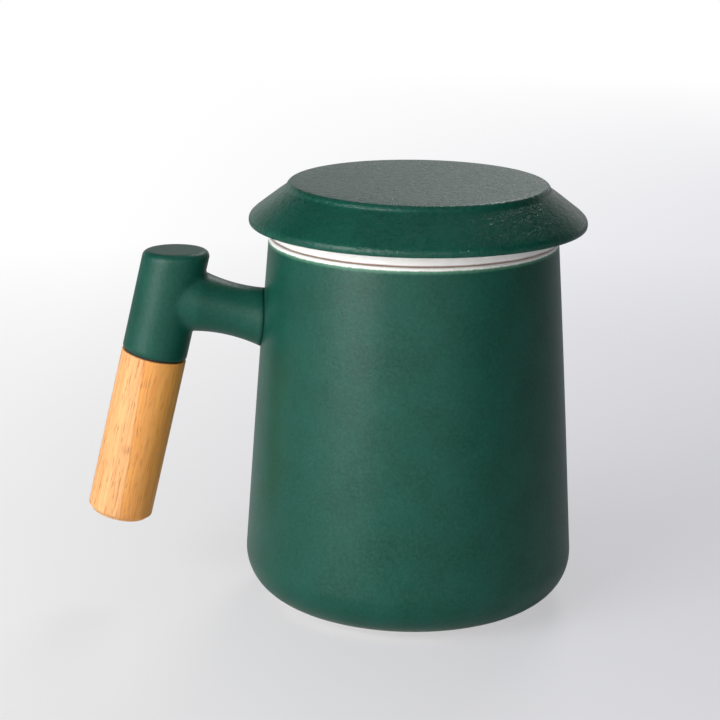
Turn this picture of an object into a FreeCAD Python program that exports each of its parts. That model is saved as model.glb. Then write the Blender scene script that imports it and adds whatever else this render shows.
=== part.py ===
import FreeCAD, Part

import math
import os

from FreeCAD import Vector

# A lidded tea mug with a lift-out infuser and a beech grip that screws to a ceramic bracket.
# Millimetres, +Z up. The origin is on the table, on the axis of the cup, at the plane of the foot ring.
# The handle stands on the -X side, in the XZ plane.

# cup: one stoneware casting, green outside and white inside
CUP_HEIGHT = 107.4
RIM_RADIUS = 41.2
BELLY_RADIUS = 47.5
BASE_CORNER = 16.5
WALL_AT_RIM = 4.0
WALL_AT_BELLY = 4.6
FLOOR_THICKNESS = 5.3
INNER_CORNER = 11.0
LIP_ROUND_OUTSIDE = 0.7
LIP_ROUND_INSIDE = 0.9
FOOT_RADIUS = 31.6
FOOT_WIDTH = 3.4
FOOT_HEIGHT = 2.2
FOOT_RECESS = 2.0
FOOT_ROUND = 0.35

# infuser: one porcelain casting that hangs in the cup by its flange
FLANGE_HEIGHT = 4.1
FLANGE_SETBACK = 0.1
FLANGE_ROUND = 1.0
FLANGE_ROUND_BELOW = 0.5
INFUSER_CLEARANCE = 1.3
INFUSER_DEPTH = 76.0
INFUSER_DRAFT = 2.8
INFUSER_WALL = 2.6
INFUSER_FLOOR = 3.0
INFUSER_CORNER = 5.0
HOLE_RADIUS = 1.0
FLOOR_RINGS = 4
FLOOR_RING_STEP = 6.2
HOLES_PER_RING = 6
WALL_ROWS = 4
WALL_ROW_STEP = 6.0
WALL_ROW_START = 10.0
HOLES_PER_ROW = 24

# the photographed rest: the loose strainer and lid have slid a little away from the handle
INFUSER_SHIFT = 0.5
LID_SHIFT = 1.1

# lid: one stoneware casting with a flat crown, a sloping brim and a ring that drops into the infuser
LID_HEIGHT = 11.9
CROWN_RADIUS = 36.8
CROWN_STEP = 1.9
CROWN_ROUND = 0.9
BRIM_RADIUS = 48.1
BRIM_EDGE = 1.4
BRIM_ROUND = 1.0
LID_ROOF = 4.6
LID_RING_CLEARANCE = 1.6
LID_RING_WALL = 3.2
LID_RING_DEPTH = 7.0
LID_ROOF_CORNER = 3.0

# handle: a ceramic bracket luted to the cup, with a post that leans outwards as it goes down
HANDLE_LEAN = math.radians(12.8)
SEAT_REACH = 33.0
POST_BELOW_RIM = 4.8
POST_DEPTH = 30.2
POST_RADIUS = 9.4
POST_TOP_ROUND = 1.8
POST_SEAT_ROUND = 0.7
ARM_ABOVE_SEAT = 17.7
ARM_WAIST = 7.55
ARM_WAIST_REACH = 19.6
ARM_ROOT_REACH = 9.6
ARM_WAIST_CURVE = 45.0
ARM_FILLET = 2.6
SOCKET_RADIUS = 4.6
SOCKET_DEPTH = 22.0

# grip: turned beech on a steel stud
GRIP_RADIUS = 9.4
GRIP_LENGTH = 49.6
GRIP_END_BEVEL = 1.5
GRIP_END_ROUND = 0.5
GRIP_TOP_ROUND = 0.35
STUD_RADIUS = 3.0
STUD_IN_BRACKET = 20.0
STUD_IN_GRIP = 16.0
STUD_CHAMFER = 0.6
BOND_SETBACK = 1.0
INSERT_LENGTH = 12.0
INSERT_WALL = 1.6
INSERT_BARB = 0.5
INSERT_BARBS = 4
THREAD_CLEARANCE = 0.05
STUD_TAIL_CLEARANCE = 0.4
STUD_END_CLEARANCE = 1.5
WASHER_THICKNESS = 0.5
WASHER_SETBACK = 0.7
WASHER_CLEARANCE = 0.3

# places that follow from the sizes
POST_TOP = CUP_HEIGHT - POST_BELOW_RIM
SEAT_X = -RIM_RADIUS - SEAT_REACH
SEAT_Z = POST_TOP - POST_DEPTH
FLANGE_TOP = CUP_HEIGHT + FLANGE_HEIGHT
INFUSER_BOTTOM = CUP_HEIGHT - INFUSER_DEPTH
MOUTH_RADIUS = RIM_RADIUS - WALL_AT_RIM
BASKET_RADIUS = MOUTH_RADIUS - INFUSER_CLEARANCE
BASKET_END_RADIUS = BASKET_RADIUS - INFUSER_DRAFT
FLOOR_TOP = FOOT_RECESS + FLOOR_THICKNESS
UPRIGHT = Vector(0, 0, 1)
ORIGIN = Vector(0, 0, 0)
POST_UP = Vector(math.sin(HANDLE_LEAN), 0, math.cos(HANDLE_LEAN))
ARM_OUT = Vector(math.cos(HANDLE_LEAN), 0, -math.sin(HANDLE_LEAN))
SEAT = Vector(SEAT_X, 0, SEAT_Z)


def outline(corners):
    """A closed wire in the XZ plane through (radius, height, rounding) corners, rounded by arcs."""
    points = [Vector(radius, 0, height) for radius, height, _ in corners]
    count = len(points)
    starts, ends, middles = [], [], []
    for index, (_, _, rounding) in enumerate(corners):
        here = points[index]
        back = (points[index - 1] - here).normalize()
        ahead = (points[(index + 1) % count] - here).normalize()
        if rounding <= 0:
            starts.append(here)
            ends.append(here)
            middles.append(None)
            continue
        half = back.getAngle(ahead) / 2
        run = rounding / math.tan(half)
        centre = here + (back + ahead).normalize() * (rounding / math.sin(half))
        starts.append(here + back * run)
        ends.append(here + ahead * run)
        middles.append(centre + (here - centre).normalize() * rounding)
    edges = []
    for index in range(count):
        if middles[index] is not None:
            edges.append(Part.Arc(starts[index], middles[index], ends[index]).toShape())
        following = (index + 1) % count
        if (starts[following] - ends[index]).Length > 1e-7:
            edges.append(Part.LineSegment(ends[index], starts[following]).toShape())
    return Part.Wire(edges)


def turned(corners):
    """The solid that the outline sweeps about the Z axis."""
    return Part.Face(outline(corners)).revolve(ORIGIN, UPRIGHT, 360)


def rod(base, direction, radius, length):
    """A round rod from base along direction."""
    return Part.makeCylinder(radius, length, base, direction)


def on_post(shape):
    """Moves a shape drawn along +Z from the origin onto the post's axis, with its origin at the seat."""
    moved = shape.copy()
    moved.Placement = FreeCAD.Placement(SEAT, FreeCAD.Rotation(UPRIGHT, POST_UP)) * moved.Placement
    return moved


def edges_near(shape, test):
    """The edges of a shape whose middle point passes the test."""
    found = []
    for edge in shape.Edges:
        middle = edge.valueAt((edge.FirstParameter + edge.LastParameter) / 2)
        if not edge.Degenerated and test(edge, middle):
            found.append(edge)
    return found


def wall_lean():
    """How far the wall leans in for each millimetre of height above the base's corner."""
    return (BELLY_RADIUS - RIM_RADIUS) / (CUP_HEIGHT - BASE_CORNER)


def cup_outside():
    """The full outer body of the cup, without its hollow: the wall leans in towards the rim."""
    corner_radius = BELLY_RADIUS + wall_lean() * (BASE_CORNER - FOOT_HEIGHT)
    return turned(
        [
            (0, FOOT_RECESS, 0),
            (FOOT_RADIUS - FOOT_WIDTH - FOOT_RECESS / 2, FOOT_RECESS, FOOT_ROUND),
            (FOOT_RADIUS - FOOT_WIDTH, 0, FOOT_ROUND),
            (FOOT_RADIUS - FOOT_HEIGHT / 3, 0, FOOT_ROUND),
            (FOOT_RADIUS, FOOT_HEIGHT, 0),
            (corner_radius, FOOT_HEIGHT, BASE_CORNER - FOOT_HEIGHT),
            (RIM_RADIUS, CUP_HEIGHT, LIP_ROUND_OUTSIDE),
            (0, CUP_HEIGHT, 0),
        ]
    )


def cup_hollow():
    """The space inside the cup, open at the rim."""
    belly = BELLY_RADIUS - WALL_AT_BELLY + wall_lean() * (BASE_CORNER - FLOOR_TOP)
    above = LIP_ROUND_INSIDE
    return turned(
        [
            (0, FLOOR_TOP, 0),
            (belly, FLOOR_TOP, INNER_CORNER),
            (MOUTH_RADIUS, CUP_HEIGHT - above, 0),
            (MOUTH_RADIUS, CUP_HEIGHT, 0),
            (0, CUP_HEIGHT, 0),
        ]
    )


def cup_shell():
    """The cup: foot ring, floor, wall and a lip that is flat on top and rounded on both sides."""
    shell = cup_outside().cut(cup_hollow())
    inner_lip = edges_near(
        shell,
        lambda edge, middle: abs(middle.z - CUP_HEIGHT) < 1e-4
        and abs(math.hypot(middle.x, middle.y) - MOUTH_RADIUS) < 1e-3,
    )
    return shell.makeFillet(LIP_ROUND_INSIDE * 0.95, inner_lip)


def infuser():
    """The strainer: a flange that sits on the rim, a tapered wall, and holes low down and in its floor."""
    flange_radius = RIM_RADIUS - FLANGE_SETBACK
    inner_top = BASKET_RADIUS - INFUSER_WALL
    inner_end = BASKET_END_RADIUS - INFUSER_WALL
    body = turned(
        [
            (0, INFUSER_BOTTOM, 0),
            (BASKET_END_RADIUS, INFUSER_BOTTOM, INFUSER_CORNER),
            (BASKET_RADIUS, CUP_HEIGHT, 0),
            (flange_radius, CUP_HEIGHT, FLANGE_ROUND_BELOW),
            (flange_radius, FLANGE_TOP, FLANGE_ROUND),
            (inner_top, FLANGE_TOP, FLANGE_ROUND / 2),
            (inner_end, INFUSER_BOTTOM + INFUSER_FLOOR, INFUSER_CORNER - INFUSER_WALL / 2),
            (0, INFUSER_BOTTOM + INFUSER_FLOOR, 0),
        ]
    )
    strainer = body.cut(Part.makeCompound(floor_holes() + wall_holes()))
    return strainer.translated(Vector(INFUSER_SHIFT, 0, 0))


def floor_holes():
    """Rings of holes through the infuser's floor, about one in its middle."""
    deep = INFUSER_FLOOR * 3
    holes = [rod(Vector(0, 0, INFUSER_BOTTOM - INFUSER_FLOOR), UPRIGHT, HOLE_RADIUS, deep)]
    for ring in range(1, FLOOR_RINGS + 1):
        count = HOLES_PER_RING * ring
        for index in range(count):
            angle = 2 * math.pi * index / count
            distance = FLOOR_RING_STEP * ring
            under = INFUSER_BOTTOM - INFUSER_FLOOR
            base = Vector(distance * math.cos(angle), distance * math.sin(angle), under)
            holes.append(rod(base, UPRIGHT, HOLE_RADIUS, deep))
    return holes


def wall_holes():
    """Rows of holes through the infuser's lower wall, each turned half a space from the row below."""
    holes = []
    for row in range(WALL_ROWS):
        height = INFUSER_BOTTOM + WALL_ROW_START + WALL_ROW_STEP * row
        for index in range(HOLES_PER_ROW):
            angle = 2 * math.pi * (index + 0.5 * (row % 2)) / HOLES_PER_ROW
            outwards = Vector(math.cos(angle), math.sin(angle), 0)
            base = outwards * (BASKET_END_RADIUS - INFUSER_WALL * 2) + Vector(0, 0, height)
            holes.append(rod(base, outwards, HOLE_RADIUS, INFUSER_WALL * 4))
    return holes


def lid():
    """The lid: a flat crown with a small step, a sloping brim, a flat seat and a locating ring."""
    top = FLANGE_TOP + LID_HEIGHT
    ring_radius = BASKET_RADIUS - INFUSER_WALL - LID_RING_CLEARANCE
    hollow_radius = ring_radius - LID_RING_WALL
    ring_end = FLANGE_TOP - LID_RING_DEPTH
    centred = turned(
        [
            (0, top, 0),
            (CROWN_RADIUS, top, CROWN_ROUND),
            (CROWN_RADIUS + CROWN_STEP / 4, top - CROWN_STEP, CROWN_STEP / 3),
            (BRIM_RADIUS, FLANGE_TOP + BRIM_EDGE, BRIM_ROUND),
            (BRIM_RADIUS - BRIM_EDGE / 4, FLANGE_TOP, BRIM_ROUND / 2),
            (ring_radius, FLANGE_TOP, 0.5),
            (ring_radius, ring_end, LID_RING_WALL / 3),
            (hollow_radius, ring_end, LID_RING_WALL / 3),
            (hollow_radius, top - LID_ROOF, LID_ROOF_CORNER),
            (0, top - LID_ROOF, 0),
        ]
    )
    return centred.translated(Vector(LID_SHIFT, 0, 0))


def arm_radius(reach):
    """The arm's radius at a reach from the post's axis: it is thinnest at its waist."""
    drop = math.sqrt(ARM_WAIST_CURVE**2 - (reach - ARM_WAIST_REACH) ** 2)
    return ARM_WAIST + ARM_WAIST_CURVE - drop


def handle_bracket():
    """The bracket: a leaning post with a socket for the stud, and an arm that flares to the cup."""
    post_length = (POST_TOP - SEAT_Z) / math.cos(HANDLE_LEAN) + POST_RADIUS
    post = rod(SEAT, POST_UP, POST_RADIUS, post_length)
    arm_start = SEAT + POST_UP * ARM_ABOVE_SEAT
    arm_reach = (-RIM_RADIUS + WALL_AT_RIM / 2 - arm_start.x) / math.cos(HANDLE_LEAN)
    root = Vector(arm_radius(ARM_ROOT_REACH), 0, ARM_ROOT_REACH)
    waist = Vector(ARM_WAIST, 0, ARM_WAIST_REACH)
    flare = Vector(arm_radius(arm_reach), 0, arm_reach)
    edges = [
        Part.LineSegment(ORIGIN, Vector(root.x, 0, 0)).toShape(),
        Part.LineSegment(Vector(root.x, 0, 0), root).toShape(),
        Part.Arc(root, waist, flare).toShape(),
        Part.LineSegment(flare, Vector(0, 0, arm_reach)).toShape(),
        Part.LineSegment(Vector(0, 0, arm_reach), ORIGIN).toShape(),
    ]
    arm = Part.Face(Part.Wire(edges)).revolve(ORIGIN, UPRIGHT, 360)
    arm.Placement = FreeCAD.Placement(arm_start, FreeCAD.Rotation(UPRIGHT, ARM_OUT))
    # the arm's seam is turned to its side, clear of the top and bottom of the blend
    arm = arm.rotated(arm_start, ARM_OUT, 90)
    joined = post.fuse(arm).removeSplitter()

    def where_they_meet(edge, middle):
        on_the_post = abs(middle.sub(SEAT).cross(POST_UP).Length - POST_RADIUS) < 0.05
        from_arm_axis = middle.sub(arm_start).cross(ARM_OUT).Length
        on_the_arm_side = middle.sub(arm_start).dot(ARM_OUT) > 0
        return on_the_post and on_the_arm_side and ARM_WAIST < from_arm_axis < POST_RADIUS

    blended = joined.makeFillet(ARM_FILLET, edges_near(joined, where_they_meet))
    room = 2 * POST_DEPTH
    above = Part.makeBox(2 * room, 2 * room, room, Vector(SEAT_X - room, -room, POST_TOP))
    trimmed = blended.cut(above)
    top_edge = edges_near(
        trimmed,
        lambda edge, middle: abs(middle.z - POST_TOP) < 1e-4
        and edge.Curve.TypeId != "Part::GeomLine",
    )
    rounded = trimmed.makeFillet(POST_TOP_ROUND, top_edge)
    seat_edge = edges_near(
        rounded,
        lambda edge, middle: abs((middle - SEAT).dot(POST_UP)) < 1e-4
        and abs((middle - SEAT).Length - POST_RADIUS) < 1e-3,
    )
    softened = rounded.makeFillet(POST_SEAT_ROUND, seat_edge)
    saddled = softened.cut(cup_outside())
    socket = rod(SEAT - POST_UP, POST_UP, SOCKET_RADIUS, SOCKET_DEPTH + 1)
    return saddled.cut(socket).Solids[0]


def threaded_rod_outline(length, below):
    """The stud's outline along its own axis, from below the seat up, with a chamfer at each end."""
    return [
        (0, -below, 0),
        (STUD_RADIUS - STUD_CHAMFER, -below, 0),
        (STUD_RADIUS, -below + STUD_CHAMFER, 0),
        (STUD_RADIUS, length - below - STUD_CHAMFER, 0),
        (STUD_RADIUS - STUD_CHAMFER, length - below, 0),
        (0, length - below, 0),
    ]


def handle_stud():
    """The steel stud, bonded in the bracket and screwed into the grip's insert, with a plain thread."""
    return on_post(turned(threaded_rod_outline(STUD_IN_BRACKET + STUD_IN_GRIP, STUD_IN_GRIP)))


def stud_bond():
    """The cement that fills the socket around the stud."""
    filled = turned(
        [
            (0, BOND_SETBACK, 0),
            (SOCKET_RADIUS, BOND_SETBACK, 0),
            (SOCKET_RADIUS, SOCKET_DEPTH, 0),
            (0, SOCKET_DEPTH, 0),
        ]
    )
    return on_post(filled).cut(handle_stud())


def grip_washer():
    """The thin dark washer between the bracket's seat and the grip."""
    inner = STUD_RADIUS + WASHER_CLEARANCE
    outer = GRIP_RADIUS - WASHER_SETBACK
    return on_post(
        turned([(inner, -WASHER_THICKNESS, 0), (outer, -WASHER_THICKNESS, 0), (outer, 0, 0), (inner, 0, 0)])
    )


def insert_outline():
    """The insert's outline, open at both ends, with rings that bite in the wood."""
    inner = STUD_RADIUS + THREAD_CLEARANCE
    outer = STUD_RADIUS + INSERT_WALL
    top = -WASHER_THICKNESS
    pitch = INSERT_LENGTH / INSERT_BARBS
    corners = [(inner, top, 0), (outer, top, 0)]
    for ring in range(INSERT_BARBS):
        start = top - pitch * ring
        corners += [(outer, start - pitch * 0.4, 0), (outer - INSERT_BARB, start - pitch * 0.8, 0)]
        corners += [(outer, start - pitch, 0)]
    return corners + [(inner, top - INSERT_LENGTH, 0)]


def grip_insert():
    """The brass insert in the grip, which runs on the stud."""
    return on_post(turned(insert_outline()))


def grip():
    """The turned beech grip, bored for the insert and, deeper, for the stud's end."""
    top = -WASHER_THICKNESS
    insert_radius = STUD_RADIUS + INSERT_WALL
    tail_radius = STUD_RADIUS + STUD_TAIL_CLEARANCE
    return on_post(
        turned(
            [
                (0, top - GRIP_LENGTH, 0),
                (GRIP_RADIUS - GRIP_END_BEVEL, top - GRIP_LENGTH, GRIP_END_ROUND),
                (GRIP_RADIUS, top - GRIP_LENGTH + GRIP_END_BEVEL, GRIP_END_ROUND),
                (GRIP_RADIUS, top, GRIP_TOP_ROUND),
                (insert_radius, top, 0),
                (insert_radius, top - INSERT_LENGTH, 0),
                (tail_radius, top - INSERT_LENGTH, 0),
                (tail_radius, -STUD_IN_GRIP - STUD_END_CLEARANCE, 0),
                (0, -STUD_IN_GRIP - STUD_END_CLEARANCE, 0),
            ]
        )
    )


PARTS = {
    "cup_shell": cup_shell,
    "handle_bracket": handle_bracket,
    "handle_stud": handle_stud,
    "stud_bond": stud_bond,
    "grip_washer": grip_washer,
    "grip_insert": grip_insert,
    "grip": grip,
    "infuser": infuser,
    "lid": lid,
}


def main():
    os.makedirs("parts", exist_ok=True)
    for name, make in PARTS.items():
        shape = make()
        solids = shape.Solids
        print(name, "solids", len(solids), "valid", shape.isValid(), "volume", round(shape.Volume, 1))
        shape.exportStep(f"parts/{name}.step")


main()
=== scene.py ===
import math

import bmesh
import bpy
from mathutils import Matrix, Vector


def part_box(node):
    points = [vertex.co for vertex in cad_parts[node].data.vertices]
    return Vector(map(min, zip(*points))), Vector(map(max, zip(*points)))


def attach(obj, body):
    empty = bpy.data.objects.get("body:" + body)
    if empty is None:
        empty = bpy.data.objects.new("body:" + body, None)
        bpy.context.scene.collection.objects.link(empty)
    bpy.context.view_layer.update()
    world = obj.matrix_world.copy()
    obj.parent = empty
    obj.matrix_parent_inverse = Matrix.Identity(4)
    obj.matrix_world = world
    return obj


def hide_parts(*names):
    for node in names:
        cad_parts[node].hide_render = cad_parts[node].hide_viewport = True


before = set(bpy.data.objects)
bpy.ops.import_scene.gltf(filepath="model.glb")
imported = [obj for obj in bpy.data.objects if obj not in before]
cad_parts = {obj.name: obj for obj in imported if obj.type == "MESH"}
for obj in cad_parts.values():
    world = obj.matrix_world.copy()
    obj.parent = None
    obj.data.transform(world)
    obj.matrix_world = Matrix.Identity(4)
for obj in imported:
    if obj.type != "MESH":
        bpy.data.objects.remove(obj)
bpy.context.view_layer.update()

# The cup
# One slip-cast stoneware body. It is dipped green outside and poured pale inside, and the pale
# glaze runs over the lip. The foot ring is wiped clean before firing, so bare clay meets the table.
MM = 0.001
CUP_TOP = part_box("cup_shell")[1].z / MM
BELLY = 47.5
RIM = 41.2
MOUTH = 37.2
THROAT = 8
BASE_CORNER_TOP = 16.5
BASE_ROUNDING = 12.6
FOOT_INSIDE = 28.2
FOOT_OUTSIDE = 31.6
FOOT_RECESS = 2.0
FOOT_HEIGHT = 2.2
FLOOR_TOP = 7.3
BELLY_WALL = 4.6
INSIDE_ROUNDING = 11
GLAZE_LINE = CUP_TOP - 0.85


def colour(red, green, blue):
    """A colour as it looks on screen, in the numbers that a shader socket takes."""
    linear = []
    for level in (red / 255, green / 255, blue / 255):
        linear.append(level / 12.92 if level < 0.04045 else ((level + 0.055) / 1.055) ** 2.4)
    return linear + [1.0]


def turned(name, corners, sides=160):
    """Draws a line with one extruded vertex, rounds its corners and spins it about the Z axis."""
    bpy.ops.object.select_all(action="DESELECT")
    bpy.ops.mesh.primitive_plane_add(size=MM)
    piece = bpy.context.object
    piece.name = piece.data.name = name
    bpy.ops.object.mode_set(mode="EDIT")
    bpy.ops.mesh.select_mode(type="VERT")
    bpy.ops.mesh.merge(type="CENTER")
    places = [Vector((radius, 0, height)) * MM for radius, height, _ in corners]
    bpy.ops.transform.translate(value=places[0])
    for start, end in zip(places, places[1:]):
        bpy.ops.mesh.extrude_region_move(TRANSFORM_OT_translate={"value": end - start})
    for index, (_, _, rounding) in enumerate(corners):
        if rounding:
            back = (places[index - 1] - places[index]).normalized()
            ahead = (places[index + 1] - places[index]).normalized()
            run = rounding * MM / math.tan(back.angle(ahead) / 2)
            bpy.ops.mesh.select_all(action="DESELECT")
            drawn = bmesh.from_edit_mesh(piece.data)
            min(drawn.verts, key=lambda vertex: (vertex.co - places[index]).length).select_set(True)
            drawn.select_flush_mode()
            steps = max(4, min(16, round(rounding * 4)))
            bpy.ops.mesh.bevel(offset=run, segments=steps, affect="VERTICES", clamp_overlap=False)
    bpy.ops.mesh.select_all(action="SELECT")
    bpy.ops.mesh.spin(steps=sides, angle=math.tau, center=(0, 0, 0), axis=(0, 0, 1))
    bpy.ops.mesh.select_all(action="SELECT")
    bpy.ops.mesh.remove_doubles(threshold=MM / 1000)
    bpy.ops.mesh.normals_make_consistent(inside=False)
    bpy.ops.object.mode_set(mode="OBJECT")
    bpy.ops.object.shade_smooth_by_angle(angle=math.radians(40))
    bpy.ops.object.modifier_add(type="WEIGHTED_NORMAL")
    piece.modifiers[-1].keep_sharp = True
    bpy.ops.object.modifier_apply(modifier=piece.modifiers[-1].name)
    return piece


def new_material(name):
    """An empty node material, its shader, and the place on the object in metres."""
    material = bpy.data.materials.new(name)
    material.use_nodes = True
    tree = material.node_tree
    place = add(tree, "ShaderNodeTexCoord", {}).outputs["Object"]
    return material, tree, tree.nodes["Principled BSDF"], place


def plug(tree, socket, value):
    """Links an output to a socket, or sets the socket to a plain value."""
    if isinstance(value, bpy.types.NodeSocket):
        tree.links.new(value, socket)
    else:
        socket.default_value = value


def add(tree, kind, settings):
    """Adds a node. Each setting is a socket, by its name or number, or a property of the node."""
    node = tree.nodes.new(kind)
    for key, value in settings.items():
        if isinstance(key, int) or key in node.inputs.keys():
            plug(tree, node.inputs[key], value)
        else:
            setattr(node, key, value)
    return node


def mixed(tree, amount, first, second):
    """A colour between two, each a list of numbers or an output."""
    settings = {"data_type": "RGBA", 0: amount, 6: first, 7: second}
    return add(tree, "ShaderNodeMix", settings).outputs[2]


def ranged(tree, value, low, high, to_low=0.0, to_high=1.0):
    """A value carried from one range to another, held at the ends."""
    settings = {"From Min": low, "From Max": high, "To Min": to_low, "To Max": to_high}
    return add(tree, "ShaderNodeMapRange", {**settings, "Value": value}).outputs["Result"]


def worked(tree, operation, first, second=0.5, third=0.5):
    """One arithmetic step on values or outputs."""
    settings = {"operation": operation, 0: first, 1: second, 2: third}
    return add(tree, "ShaderNodeMath", settings).outputs[0]


def split(tree, place):
    """A place's X, Y and Z."""
    return add(tree, "ShaderNodeSeparateXYZ", {0: place}).outputs


def from_axis(tree, place):
    """How far a place is from the Z axis."""
    where = split(tree, place)
    squares = worked(tree, "MULTIPLY", where["X"], where["X"])
    squares = worked(tree, "MULTIPLY_ADD", where["Y"], where["Y"], squares)
    return worked(tree, "SQRT", squares)


def rough(tree, shader, height, depth_mm, strength, under=None):
    """Bumps a shader's surface by a height, on top of the normal under it if there is one."""
    settings = {"Strength": strength, "Distance": depth_mm * MM, "Height": height}
    bump = add(tree, "ShaderNodeBump", settings)
    if under is not None:
        plug(tree, bump.inputs["Normal"], under)
    plug(tree, shader.inputs["Normal"], bump.outputs["Normal"])


def noise(tree, place, size_mm, detail=2.0, roughness=0.5, distortion=0.0):
    """Noise whose blotches are about size_mm across."""
    settings = {"Scale": 1000 / size_mm, "Detail": detail, "Roughness": roughness}
    settings.update({"Distortion": distortion, "Vector": place})
    return add(tree, "ShaderNodeTexNoise", settings).outputs["Fac"]


def green_glaze(name, line=None, grain=1.0, depth=0.045, seam=None, gloss=0.36, uneven=0.05):
    """Satin green glaze, cloudy and finely mottled, with a few pale pinholes and a leathery skin.

    The skin's grain and depth are in millimetres. Gloss is the middle roughness, and uneven is how
    far the reflection varies over the grain. Above the line, a height, the glaze breaks to pale,
    and it is wiped off just above the foot. The seam, a radius and a lean of the cup's wall, gets
    painted shade where the piece meets the wall, and a piece that has one is shaded with its edges
    flowing into each other."""
    material, tree, shader, place = new_material(name)
    cloudy = ranged(tree, noise(tree, place, 11.0, 3.0), 0.35, 0.65)
    mottled = ranged(tree, noise(tree, place, 0.9, 4.0, 0.65), 0.3, 0.7)
    green = mixed(tree, cloudy, colour(5, 63, 50), colour(10, 72, 59))
    green = mixed(tree, worked(tree, "MULTIPLY", mottled, 0.55), green, colour(28, 88, 72))

    # One pinhole in seven of the 7 mm cells, 0.4 mm across.
    settings = {"Scale": 1000 / 7.0, "Randomness": 1.0, "Vector": place}
    cells = add(tree, "ShaderNodeTexVoronoi", settings)
    chance = add(tree, "ShaderNodeSeparateColor", {0: cells.outputs["Color"]}).outputs["Red"]
    small = worked(tree, "LESS_THAN", cells.outputs["Distance"], 0.03)
    pinhole = worked(tree, "MULTIPLY", small, worked(tree, "GREATER_THAN", chance, 0.86))
    green = mixed(tree, pinhole, green, colour(120, 150, 136))

    # A lighter band below the line, broken white above it, and the wiped ring over the foot.
    if line is not None:
        height = split(tree, place)["Z"]
        wander = noise(tree, place, 1.2, 3.0, 0.6)
        ragged = worked(tree, "MULTIPLY_ADD", wander, 0.5 * MM, (line - 0.25) * MM)
        above = worked(tree, "SUBTRACT", height, ragged)
        green = mixed(tree, ranged(tree, above, -1.1 * MM, 0.0), green, colour(92, 142, 116))
        broken = ranged(tree, above, -0.16 * MM, 0.2 * MM)
        green = mixed(tree, broken, green, colour(240, 240, 236))
        wiped = worked(tree, "MULTIPLY_ADD", noise(tree, place, 4.0, 2.0), 0.6 * MM, 3.2 * MM)
        below = worked(tree, "SUBTRACT", height, wiped)
        bare = ranged(tree, below, -0.1 * MM, 0.1 * MM, 0.9, 0.0)
        green = mixed(tree, bare, green, colour(216, 210, 192))

    # Painted shade: the slip joint, the crease where the arm meets the cup's wall, is darkened for
    # half a millimetre from the wall.
    flowing = None
    if seam is not None:
        radius, fall = seam
        fallen = worked(tree, "MULTIPLY", split(tree, place)["Z"], fall)
        reach = worked(tree, "ADD", from_axis(tree, place), fallen)
        crease_shade = ranged(tree, reach, (radius + 0.2) * MM, (radius + 0.6) * MM, 0.9, 0.0)
        green = mixed(tree, crease_shade, green, colour(4, 24, 19))
        settings = {"samples": 8, "Radius": 2.2 * MM}
        flowing = add(tree, "ShaderNodeBevel", settings).outputs["Normal"]

    # The skin is a coarse grain with a weaker fine one. It reflects more where it is high.
    fine = worked(tree, "MULTIPLY", noise(tree, place, 0.4, 2.0), 0.3)
    skin = worked(tree, "ADD", noise(tree, place, grain, 3.0, 0.6, 0.6), fine)
    sheen = ranged(tree, skin, 0.45, 0.85, 0.3 - uneven, 0.3 + uneven)
    satin = ranged(tree, mottled, 0, 1, gloss - 0.05, gloss + 0.05)
    plug(tree, shader.inputs["Base Color"], green)
    plug(tree, shader.inputs["Roughness"], satin)
    plug(tree, shader.inputs["Specular IOR Level"], sheen)
    rough(tree, shader, skin, depth, 1.0, flowing)
    return material


def white_glaze(name, band_at):
    """Glossy warm white glaze with faint clouding and a soft ripple. It is brown in a thin band
    where
    cup and strainer meet: at a height in millimetres, outside the mouth."""
    material, tree, shader, place = new_material(name)
    cloudy = ranged(tree, noise(tree, place, 14.0, 3.0), 0.35, 0.65)
    white = mixed(tree, cloudy, colour(247, 244, 239), colour(251, 249, 246))
    # A thin brown band at the given height, outside the mouth.
    outside = ranged(tree, from_axis(tree, place), 37.5 * MM, 38.5 * MM)
    wander = worked(tree, "MULTIPLY_ADD", noise(tree, place, 7.0, 2.0), 0.3 * MM, band_at * MM)
    away = worked(tree, "SUBTRACT", split(tree, place)["Z"], wander)
    away = worked(tree, "ABSOLUTE", away)
    brown_band = worked(tree, "MULTIPLY", outside, ranged(tree, away, 0.25 * MM, 0.6 * MM, 0.9, 0.0))
    white = mixed(tree, brown_band, white, colour(116, 78, 58))
    plug(tree, shader.inputs["Base Color"], white)
    plug(tree, shader.inputs["Roughness"], ranged(tree, cloudy, 0, 1, 0.16, 0.26))
    plug(tree, shader.inputs["IOR"], 1.52)
    rough(tree, shader, noise(tree, place, 2.4, 2.0), 0.04, 0.6)
    return material


def bare_clay(name):
    """Unglazed stoneware, pale and gritty."""
    material, tree, shader, place = new_material(name)
    grit = noise(tree, place, 0.6, 4.0, 0.7)
    speckled = ranged(tree, grit, 0.35, 0.65)
    clay = mixed(tree, speckled, colour(214, 206, 192), colour(232, 226, 214))
    plug(tree, shader.inputs["Base Color"], clay)
    plug(tree, shader.inputs["Roughness"], 0.85)
    rough(tree, shader, grit, 0.08, 0.7)
    return material


# How much narrower the cup gets for each millimetre that it rises.
lean = (BELLY - RIM) / (CUP_TOP - BASE_CORNER_TOP)


def wall(height, bow=0.2):
    """The cup's outer radius at a height above the base's corner. The wall swells by the bow."""
    part_way = (height - BASE_CORNER_TOP) / (CUP_TOP - BASE_CORNER_TOP)
    return BELLY - lean * (height - BASE_CORNER_TOP) + bow * 4 * part_way * (1 - part_way)


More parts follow.
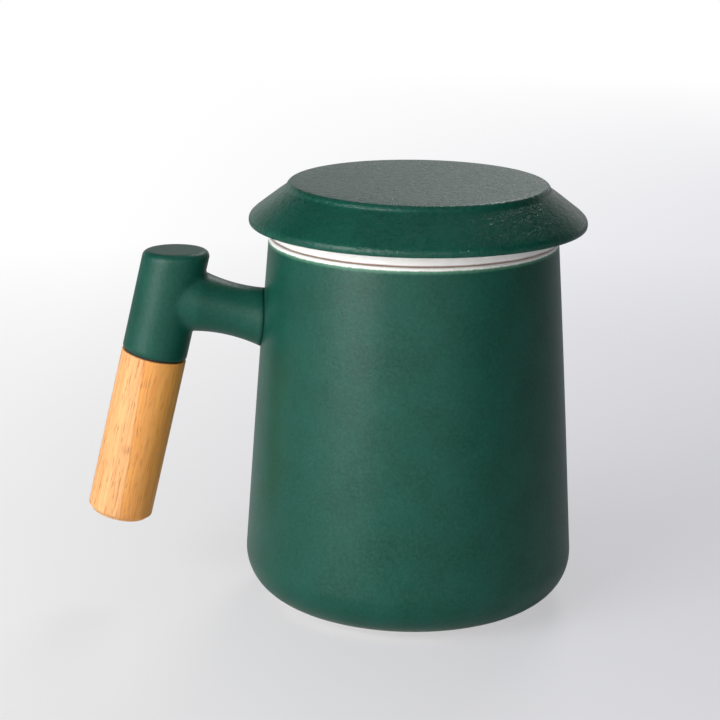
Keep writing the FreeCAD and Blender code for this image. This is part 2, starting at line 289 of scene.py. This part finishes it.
cup = turned(
    "cup",
    [
        (0, FOOT_RECESS, 0),
        (FOOT_INSIDE - 1, FOOT_RECESS, 0.3),
        (FOOT_INSIDE, 0, 0.35),
        (FOOT_OUTSIDE - 0.7, 0, 0.35),
        (FOOT_OUTSIDE, FOOT_HEIGHT, 0),
        (BELLY + lean * (BASE_CORNER_TOP - FOOT_HEIGHT), FOOT_HEIGHT, BASE_ROUNDING),
        *((wall(height), height, 0) for height in (32, 48, 62, 76, 92, 102)),
        (RIM, CUP_TOP, 0.7),
        (MOUTH, CUP_TOP, 0.9),
        (MOUTH + lean * THROAT, CUP_TOP - THROAT, 0),
        (BELLY - BELLY_WALL + lean * (BASE_CORNER_TOP - FLOOR_TOP), FLOOR_TOP, INSIDE_ROUNDING),
        (0, FLOOR_TOP, 0),
    ],
)
cup.data.materials.append(green_glaze("cup_green", GLAZE_LINE))
cup.data.materials.append(white_glaze("cup_white", CUP_TOP))
cup.data.materials.append(bare_clay("cup_foot"))
for face in cup.data.polygons:
    radius, height = math.hypot(*face.center.xy) / MM, face.center.z / MM
    inside = height > FLOOR_TOP - 0.1 and radius < wall(max(height, BASE_CORNER_TOP), 0) - 3.4
    on_foot = height < FOOT_RECESS - 0.1 and radius > FOOT_INSIDE - 0.2
    face.material_index = 1 if inside else 2 if on_foot else 0
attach(cup, "cup")
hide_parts("cup_shell")

# The bracket
# A solid stoneware T-piece in the same green glaze: a leaning post, and an arm that flares to the
# cup. It is stuck to the cup with slip before firing, and painted shade darkens the thin crease
# where it meets the cup.


def dress(node, finish):
    """Gives a solid of the frame one material."""
    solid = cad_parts[node]
    solid.data.materials.clear()
    solid.data.materials.append(finish)


skin = {"grain": 0.8, "depth": 0.06, "gloss": 0.4}
# Where the bracket meets the cup's wall, and so where its painted shade falls.
seam = (BELLY + lean * BASE_CORNER_TOP, lean)
dress("handle_bracket", green_glaze("bracket_green", seam=seam, **skin))

# The fixing inside the handle
# A steel stud is cemented in the post's socket. A brass insert is pressed into the grip and runs on
# it. All of it is hidden once the grip is on.


def plain_metal(name, tint, roughness):
    """Machined metal, slightly blotched."""
    material, tree, shader, place = new_material(name)
    blotches = noise(tree, place, 0.4, 2.0)
    darker = [level * 0.85 for level in tint[:3]] + [1]
    matt = ranged(tree, blotches, 0.3, 0.7, roughness - 0.06, roughness + 0.06)
    plug(tree, shader.inputs["Base Color"], mixed(tree, blotches, darker, tint))
    plug(tree, shader.inputs["Roughness"], matt)
    plug(tree, shader.inputs["Metallic"], 1.0)
    return material


dress("handle_stud", plain_metal("stud_steel", colour(180, 181, 184), 0.35))
dress("grip_insert", plain_metal("insert_brass", colour(205, 170, 95), 0.32))
dress("stud_bond", bare_clay("cement"))

# The washer
# A thin black silicone ring between the post and the wood. It takes up the fit and keeps water out.


def dark_silicone(name):
    """Matt black rubber with a dusty bloom."""
    material, tree, shader, place = new_material(name)
    bloom = noise(tree, place, 1.2, 3.0)
    rubber = mixed(tree, bloom, colour(22, 20, 19), colour(38, 35, 33))
    plug(tree, shader.inputs["Base Color"], rubber)
    plug(tree, shader.inputs["Roughness"], 0.7)
    return material


dress("grip_washer", dark_silicone("washer_black"))

# The grip
# A length of beech, turned round, eased at its lower end, bored for its insert, and oiled. The
# grain runs along it, with the short dark flecks that beech has.
GRIP_LEAN = math.radians(12.8)
SEAT = Vector((-74.2, 0, 72.4)) * MM
GRIP_RADIUS = 9.4
GRIP_LENGTH = 49.6
GRIP_BEVEL = 1.5
GRIP_TOP = -0.5
INSERT_RADIUS = 4.6
INSERT_LENGTH = 12
STUD_BORE_RADIUS = 3.4
STUD_BORE_END = -17.5


def oiled_beech(name, axis_at, lean_angle):
    """Straight-grained beech along a leaning axis, with bands, fibres and short dark dashes."""
    material, tree, shader, place = new_material(name)
    settings = {"vector_type": "TEXTURE", "Location": axis_at, "Rotation": (0, lean_angle, 0)}
    along = add(tree, "ShaderNodeMapping", {**settings, "Vector": place}).outputs[0]

    def strands(width_mm, length_mm, offset, detail=3.0):
        """Noise drawn out along the grain."""
        scale = (1000 / width_mm, 1000 / width_mm, 1000 / length_mm)
        settings = {"Location": (offset, offset, 0), "Scale": scale, "Vector": along}
        drawn = add(tree, "ShaderNodeMapping", settings).outputs[0]
        settings = {"Scale": 1.0, "Detail": detail, "Roughness": 0.6, "Vector": drawn}
        return add(tree, "ShaderNodeTexNoise", settings).outputs["Fac"]

    bands = ranged(tree, strands(3.6, 150, 3.1), 0.35, 0.65)
    fibres = ranged(tree, strands(0.75, 22, 8.4), 0.3, 0.7)
    hairs = ranged(tree, strands(0.25, 6, 1.7), 0.35, 0.65)
    wood = mixed(tree, bands, colour(236, 156, 66), colour(240, 172, 88))

    # Across the grain, tilted slightly, are a pale half, a dark line and an orange half. The orange
    # half, on the right, is painted light: a brighter orange that lifts the grip's shaded side.
    turned_to = split(tree, along)
    side = worked(tree, "MULTIPLY_ADD", turned_to["Z"], 0.058, turned_to["X"])
    side = worked(tree, "MULTIPLY_ADD", strands(2.0, 12, 2.2), 1.2 * MM, side)
    pale = ranged(tree, side, -1.6 * MM, -1.2 * MM, 0.85, 0.0)
    wood = mixed(tree, pale, wood, colour(240, 188, 130))
    # Painted light: the brighter orange over the shaded right half.
    wood = mixed(tree, ranged(tree, side, 2.5 * MM, 7.0 * MM), wood, colour(255, 178, 78))
    edge = worked(tree, "ABSOLUTE", worked(tree, "ADD", side, 1.3 * MM))
    dark_line = ranged(tree, edge, 0.05 * MM, 0.3 * MM, 0.45, 0.0)
    wood = mixed(tree, dark_line, wood, colour(176, 100, 44))

    wood = mixed(tree, worked(tree, "MULTIPLY", fibres, 0.6), wood, colour(206, 118, 52))
    wood = mixed(tree, worked(tree, "MULTIPLY", hairs, 0.25), wood, colour(240, 190, 122))
    dashes = ranged(tree, strands(0.4, 5.0, 5.5, 1.5), 0.57, 0.66)
    fewer = ranged(tree, side, -1.0 * MM, 3.0 * MM, 1.0, 0.45)
    fleck = worked(tree, "MULTIPLY", dashes, fewer)
    wood = mixed(tree, worked(tree, "MULTIPLY", fleck, 0.65), wood, colour(164, 92, 44))

    # A dull smudge halfway down the front.
    knot_at = Vector((-1.5, -9.2, -28.0)) * MM
    settings = {"operation": "DISTANCE", 0: along, 1: knot_at}
    from_knot = add(tree, "ShaderNodeVectorMath", settings).outputs["Value"]
    uneven = worked(tree, "MULTIPLY_ADD", noise(tree, along, 1.5, 2.0), 2.0 * MM, from_knot)
    smudge = ranged(tree, uneven, 1.2 * MM, 3.4 * MM, 0.4, 0.0)
    wood = mixed(tree, smudge, wood, colour(168, 92, 44))

    plug(tree, shader.inputs["Base Color"], wood)
    plug(tree, shader.inputs["Roughness"], ranged(tree, fibres, 0, 1, 0.5, 0.62))
    rough(tree, shader, worked(tree, "SUBTRACT", fibres, fleck), 0.04, 0.5)
    return material


grip = turned(
    "beech_grip",
    [
        (0, GRIP_TOP - GRIP_LENGTH, 0),
        (GRIP_RADIUS - GRIP_BEVEL, GRIP_TOP - GRIP_LENGTH, 0.5),
        (GRIP_RADIUS, GRIP_TOP - GRIP_LENGTH + GRIP_BEVEL, 0.5),
        (GRIP_RADIUS, GRIP_TOP - GRIP_LENGTH * 0.66, 0),
        (GRIP_RADIUS, GRIP_TOP - GRIP_LENGTH * 0.33, 0),
        (GRIP_RADIUS, GRIP_TOP, 0.35),
        (INSERT_RADIUS, GRIP_TOP, 0),
        (INSERT_RADIUS, GRIP_TOP - INSERT_LENGTH, 0),
        (STUD_BORE_RADIUS, GRIP_TOP - INSERT_LENGTH, 0),
        (STUD_BORE_RADIUS, STUD_BORE_END, 0),
        (0, STUD_BORE_END, 0),
    ],
    sides=96,
)
grip.matrix_world = Matrix.Translation(SEAT) @ Matrix.Rotation(GRIP_LEAN, 4, "Y")
bpy.ops.object.transform_apply(location=True, rotation=True, scale=True)
grip.data.materials.append(oiled_beech("beech", SEAT, GRIP_LEAN))
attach(grip, "cup")
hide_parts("grip")

# The infuser
# A porcelain strainer in white glaze. Its flange lies on the lip and carries the lid.
dress("infuser", white_glaze("infuser_white", CUP_TOP))

# The lid
# A heavy stoneware lid in the cup's green glaze, with a coarser skin: an almost flat crown with a
# small step, a brim that slopes to a rounded edge, a flat seat below it and a ring that drops into
# the infuser. It lies slightly to the right, inside its loose fit.
LID_LOW, LID_HIGH = (corner.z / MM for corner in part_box("lid"))
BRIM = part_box("lid")[1].y / MM
LID_SHIFT = (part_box("lid")[0].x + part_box("lid")[1].x) / 2 / MM
SEAT_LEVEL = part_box("infuser")[1].z / MM
RING_OUTSIDE = 31.7
RING_INSIDE = 28.5
ROOF_THICKNESS = 4.6
CROWN_STEP = 1.9
lid = turned(
    "tea_lid",
    [
        (0, LID_HIGH, 0),
        (14, LID_HIGH - 0.01, 0),
        (23, LID_HIGH - 0.04, 0),
        (29, LID_HIGH - 0.08, 0),
        (33, LID_HIGH - 0.13, 0),
        (36.9, LID_HIGH - 0.22, 1.5),
        (37.5, LID_HIGH - CROWN_STEP, 1.4),
        (40.45, LID_HIGH - CROWN_STEP - 2.1, 0),
        (46.45, LID_HIGH - CROWN_STEP - 6.71, 0),
        (BRIM + 0.4, SEAT_LEVEL + 1.45, 2.0),
        (BRIM - 0.2, SEAT_LEVEL, 0.5),
        (RING_OUTSIDE, SEAT_LEVEL, 0.5),
        (RING_OUTSIDE, LID_LOW, 1.0),
        (RING_INSIDE, LID_LOW, 1.0),
        (RING_INSIDE, LID_HIGH - ROOF_THICKNESS, 3.0),
        (0, LID_HIGH - ROOF_THICKNESS, 0),
    ],
    sides=192,
)
lid.data.transform(Matrix.Translation((LID_SHIFT * MM, 0, 0)))
skin = {"grain": 1.9, "depth": 0.24, "gloss": 0.31, "uneven": 0.13}
lid.data.materials.append(green_glaze("lid_green", **skin))
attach(lid, "lid")
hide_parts("lid")

# The table
# A wide pale sheet that takes the mug's shadow. Painted shade makes it greyer to the right, in its
# colour and in its glow. It glows to the camera, over half as much next to the mug, which paints
# light on it there, and fully from half a metre away, so that it meets the white surroundings
# without an edge.
bpy.ops.object.select_all(action="DESELECT")
bpy.ops.mesh.primitive_circle_add(vertices=96, radius=6.0, fill_type="NGON")
table = bpy.context.object
table.name = "table"
material, tree, shader, place = new_material("table_paper")
distance = add(tree, "ShaderNodeVectorMath", {"operation": "LENGTH", 0: place}).outputs["Value"]
paper = mixed(tree, noise(tree, place, 60.0, 2.0), colour(238, 237, 239), colour(244, 243, 245))
# Painted shade: the paper greys towards the right.
rightward_shade = ranged(tree, split(tree, place)["X"], -0.15, 0.22)
shaded_paper = mixed(tree, rightward_shade, paper, colour(212, 212, 219))
plug(tree, shader.inputs["Base Color"], shaded_paper)
plug(tree, shader.inputs["Roughness"], 0.6)
# Painted shade: the glow greys towards the right near the mug.
glow_shade = worked(tree, "MULTIPLY", rightward_shade, ranged(tree, distance, 0.3, 1.2, 1.0, 0.0))
glow = mixed(tree, glow_shade, [1.0] * 4, colour(216, 216, 223))
backdrop = add(tree, "ShaderNodeEmission", {"Strength": 1.0, "Color": glow}).outputs[0]
seen = add(tree, "ShaderNodeLightPath", {}).outputs["Is Camera Ray"]
# Painted light: the glow also covers over half of the lit paper next to the mug.
far = worked(tree, "MULTIPLY", ranged(tree, distance, 0.05, 0.5, 0.55, 1.0), seen)
blend = add(tree, "ShaderNodeMixShader", {0: far, 1: shader.outputs[0], 2: backdrop})
plug(tree, tree.nodes["Material Output"].inputs["Surface"], blend.outputs[0])
table.data.materials.append(material)

# The light
# A broad soft window in front on the left, a smaller one further round to the left, a small lamp
# high behind, and a wide weak fill in front. The surroundings are bright low down behind the mug,
# with a dim ceiling, and look white to the camera.


def soft_light(name, at, towards, width, height, power):
    """A rectangular soft light, in metres and watts."""
    bpy.ops.object.light_add(type="AREA", location=at)
    lamp = bpy.context.object
    lamp.name = name
    lamp.data.shape = "RECTANGLE"
    lamp.data.size = width
    lamp.data.size_y = height
    lamp.data.energy = power
    lamp.rotation_euler = (Vector(towards) - Vector(at)).to_track_quat("-Z", "Y").to_euler()


soft_light("window", (-0.8, -0.85, 0.42), (0, 0, 0.06), 0.7, 0.8, 12.5)
soft_light("side_window", (-1.1, -0.46, 0.44), (0, 0, 0.09), 0.5, 0.5, 3.2)
soft_light("back_lamp", (0.28, 0.95, 0.88), (0, 0, 0.05), 0.4, 0.3, 3.2)
soft_light("front_fill", (0.25, -1.6, 0.5), (0, 0, 0.06), 1.6, 0.9, 6.8)
world = bpy.data.worlds.new("studio")
bpy.context.scene.world = world
world.use_nodes = True
tree = world.node_tree
around = split(tree, add(tree, "ShaderNodeTexCoord", {}).outputs["Generated"])
behind = ranged(tree, around["Y"], 0.35, 0.9, 0.05, 1.0)
low_sky = worked(tree, "MULTIPLY", behind, ranged(tree, around["Z"], 0.2, 0.4, 0.78, 0.05))
ceiling = ranged(tree, around["Z"], 0.6, 1.0, 0.0, 0.3)
lit = worked(tree, "MAXIMUM", low_sky, ceiling)
seen = add(tree, "ShaderNodeLightPath", {}).outputs["Is Camera Ray"]
background = tree.nodes["Background"]
plug(tree, background.inputs["Strength"], worked(tree, "MAXIMUM", lit, seen))
plug(tree, background.inputs["Color"], (1, 1, 1, 1))

# The camera
# It stands 0.59 m away and looks 15.4 degrees down, turned very slightly about its own axis.
CAMERA_AT = Vector((-14.84, -565.47, 226.45)) * MM
DOWN = 0.2688
ROLL = 0.0125
FOCAL_PIXELS = 2028.6
FRAME_PIXELS = 720
bpy.ops.object.camera_add()
camera = bpy.context.object
camera.name = "camera"
camera.data.sensor_width = 36
camera.data.lens = FOCAL_PIXELS / FRAME_PIXELS * camera.data.sensor_width
tilt = Matrix.Rotation(math.pi / 2 - DOWN, 4, "X") @ Matrix.Rotation(ROLL, 4, "Z")
camera.matrix_world = Matrix.Translation(CAMERA_AT) @ tilt
bpy.context.scene.camera = camera
bpy.context.scene.view_settings.view_transform = "Standard"
